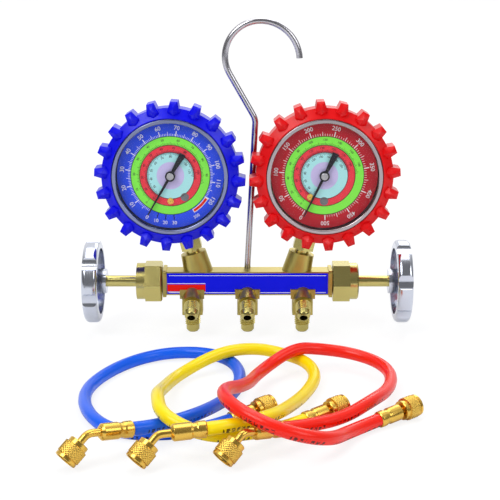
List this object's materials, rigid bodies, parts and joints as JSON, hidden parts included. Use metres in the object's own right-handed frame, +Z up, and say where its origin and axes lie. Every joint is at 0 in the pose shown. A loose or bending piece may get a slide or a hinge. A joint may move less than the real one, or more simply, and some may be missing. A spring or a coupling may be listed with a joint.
{
  "type": "refrigerant manifold gauge",
  "caption": "Two-valve brass manifold with blue and red rubber-booted dial gauges, a swivelling hanging hook, chrome handwheels and coiled blue, yellow and red charging hoses.",
  "frame": {"origin": "on the floor under the middle of the brass bar, midway between the handwheels", "axes": "+X along the bar to the high side, -Y to the front where the dials face, +Z up"},
  "size_m": [0.2304, 0.2776, 0.222],
  "materials": {
    "satin_brass": "satin",
    "bright_brass": "polished",
    "gold_brass": "polished",
    "chrome": "polished",
    "steel": "brushed",
    "black_metal": "matte",
    "label_blue": "printed",
    "blue_rubber": "glossy",
    "red_rubber": "glossy",
    "black_rubber": "matte",
    "white_plastic": "matte",
    "clear_glass": "clear",
    "dial_white": "printed",
    "blue_hose": "glossy",
    "yellow_hose": "glossy",
    "red_hose": "glossy"
  },
  "bodies": {
    "manifold": {"manifold_body": "satin_brass", "front_flare_fittings": "bright_brass", "lower_flare_fittings": "bright_brass", "front_label": "label_blue", "low_bonnet": "bright_brass", "high_bonnet": "bright_brass", "valve_seals": "black_rubber", "low_gauge_socket": "bright_brass", "low_case": "black_metal", "low_boot": "blue_rubber", "low_bezel_ring": "chrome", "low_lens": "clear_glass", "low_dial": "dial_white", "low_movement_frame": "bright_brass", "low_bourdon_tube": "satin_brass", "high_gauge_socket": "bright_brass", "high_case": "black_metal", "high_boot": "red_rubber", "high_bezel_ring": "chrome", "high_lens": "clear_glass", "high_dial": "dial_white", "high_movement_frame": "bright_brass", "high_bourdon_tube": "satin_brass", "blue_straight_fitting": "gold_brass", "blue_angled_fitting": "gold_brass", "blue_hose": "blue_hose", "yellow_straight_fitting": "gold_brass", "yellow_angled_fitting": "gold_brass", "yellow_hose": "yellow_hose", "red_straight_fitting": "gold_brass", "red_angled_fitting": "gold_brass", "red_hose": "red_hose", "hose_gaskets": "black_rubber"},
    "hook": {"hanging_hook": "chrome"},
    "low_plunger": {"low_piston": "bright_brass", "low_seat_seal": "white_plastic"},
    "low_wheel": {"low_stem": "steel", "low_handwheel": "chrome", "low_wheel_screw": "steel"},
    "low_needle": {"low_pointer": "black_metal", "low_pinion_arbor": "steel"},
    "low_sector": {"low_sector_gear": "bright_brass"},
    "low_link_arm": {"low_link": "steel"},
    "low_adjuster": {"low_calibration_screw": "bright_brass"},
    "high_plunger": {"high_piston": "bright_brass", "high_seat_seal": "white_plastic"},
    "high_wheel": {"high_stem": "steel", "high_handwheel": "chrome", "high_wheel_screw": "steel"},
    "high_needle": {"high_pointer": "black_metal", "high_pinion_arbor": "steel"},
    "high_sector": {"high_sector_gear": "bright_brass"},
    "high_link_arm": {"high_link": "steel"},
    "high_adjuster": {"high_calibration_screw": "bright_brass"},
    "blue_straight_nut_body": {"blue_straight_nut": "gold_brass"},
    "blue_angled_nut_body": {"blue_angled_nut": "gold_brass"},
    "yellow_straight_nut_body": {"yellow_straight_nut": "gold_brass"},
    "yellow_angled_nut_body": {"yellow_angled_nut": "gold_brass"},
    "red_straight_nut_body": {"red_straight_nut": "gold_brass"},
    "red_angled_nut_body": {"red_angled_nut": "gold_brass"}
  },
  "joints": [
    {"name": "low_valve_lift", "type": "slide", "parent": "manifold", "child": "low_plunger", "axis": [-1, 0, 0], "range_m": [0, 0.00351]},
    {"name": "low_valve_turn", "type": "hinge", "parent": "low_plunger", "child": "low_wheel", "pos_m": [-0.11, 0, 0.037], "axis": [-1, 0, 0], "range_deg": [0, 720]},
    {"name": "low_pointer_turn", "type": "hinge", "parent": "manifold", "child": "low_needle", "pos_m": [-0.053, 0, 0.1157], "axis": [0, 1, 0], "range_deg": [-34, 300]},
    {"name": "low_sector_turn", "type": "hinge", "parent": "manifold", "child": "low_sector", "pos_m": [-0.0477, 0, 0.09476], "axis": [0, 1, 0], "range_deg": [-27.37, 3.19]},
    {"name": "low_link_turn", "type": "hinge", "parent": "low_sector", "child": "low_link_arm", "pos_m": [-0.04439, 0, 0.09102], "axis": [0, 1, 0], "range_deg": [-3.19, 27.37]},
    {"name": "low_adjuster_turn", "type": "hinge", "parent": "manifold", "child": "low_adjuster", "pos_m": [-0.05315, -0.0135, 0.098], "axis": [0, 1, 0], "range_deg": [-180, 180]},
    {"name": "high_valve_lift", "type": "slide", "parent": "manifold", "child": "high_plunger", "axis": [1, 0, 0], "range_m": [0, 0.00351]},
    {"name": "high_valve_turn", "type": "hinge", "parent": "high_plunger", "child": "high_wheel", "pos_m": [0.11, 0, 0.037], "axis": [1, 0, 0], "range_deg": [0, 720]},
    {"name": "high_pointer_turn", "type": "hinge", "parent": "manifold", "child": "high_needle", "pos_m": [0.053, 0, 0.1157], "axis": [0, 1, 0], "range_deg": [0, 330]},
    {"name": "high_sector_turn", "type": "hinge", "parent": "manifold", "child": "high_sector", "pos_m": [0.0477, 0, 0.09476], "axis": [0, 1, 0], "range_deg": [-30.1, 0.1]},
    {"name": "high_link_turn", "type": "hinge", "parent": "high_sector", "child": "high_link_arm", "pos_m": [0.04884, 0, 0.08989], "axis": [0, 1, 0], "range_deg": [-0.1, 30.1]},
    {"name": "high_adjuster_turn", "type": "hinge", "parent": "manifold", "child": "high_adjuster", "pos_m": [0.04336, -0.0135, 0.10086], "axis": [0, 1, 0], "range_deg": [-180, 180]},
    {"name": "hook_swivel", "type": "hinge", "parent": "manifold", "child": "hook", "pos_m": [0, 0.005, 0.045], "axis": [0, 0, 1], "continuous": true},
    {"name": "blue_straight_nut_spin", "type": "hinge", "parent": "manifold", "child": "blue_straight_nut_body", "pos_m": [0.00994, -0.16838, 0.00687], "axis": [0.7969, 0.5993, 0.0765], "continuous": true},
    {"name": "blue_angled_nut_spin", "type": "hinge", "parent": "manifold", "child": "blue_angled_nut_body", "pos_m": [-0.09213, -0.23807, 0.00941], "axis": [-0.6193, -0.4695, -0.6293], "continuous": true},
    {"name": "yellow_straight_nut_spin", "type": "hinge", "parent": "manifold", "child": "yellow_straight_nut_body", "pos_m": [0.05234, -0.16838, 0.00687], "axis": [0.7969, 0.5993, 0.0765], "continuous": true},
    {"name": "yellow_angled_nut_spin", "type": "hinge", "parent": "manifold", "child": "yellow_angled_nut_body", "pos_m": [-0.05488, -0.23977, 0.00954], "axis": [-0.6193, -0.4695, -0.6293], "continuous": true},
    {"name": "red_straight_nut_spin", "type": "hinge", "parent": "manifold", "child": "red_straight_nut_body", "pos_m": [0.09474, -0.16836, 0.00683], "axis": [0.7966, 0.5998, 0.075], "continuous": true},
    {"name": "red_angled_nut_spin", "type": "hinge", "parent": "manifold", "child": "red_angled_nut_body", "pos_m": [-0.0094, -0.2373, 0.00963], "axis": [-0.6193, -0.4695, -0.6293], "continuous": true}
  ],
  "couplings": [
    {"joint": "low_valve_lift", "follows": "low_valve_turn", "m_per_rad": 0.00027852},
    {"joint": "low_sector_turn", "follows": "low_pointer_turn", "ratio": -0.090909},
    {"joint": "low_link_turn", "follows": "low_pointer_turn", "ratio": 0.090909},
    {"joint": "high_valve_lift", "follows": "high_valve_turn", "m_per_rad": 0.00027852},
    {"joint": "high_sector_turn", "follows": "high_pointer_turn", "ratio": -0.090909},
    {"joint": "high_link_turn", "follows": "high_pointer_turn", "ratio": 0.090909}
  ]
}
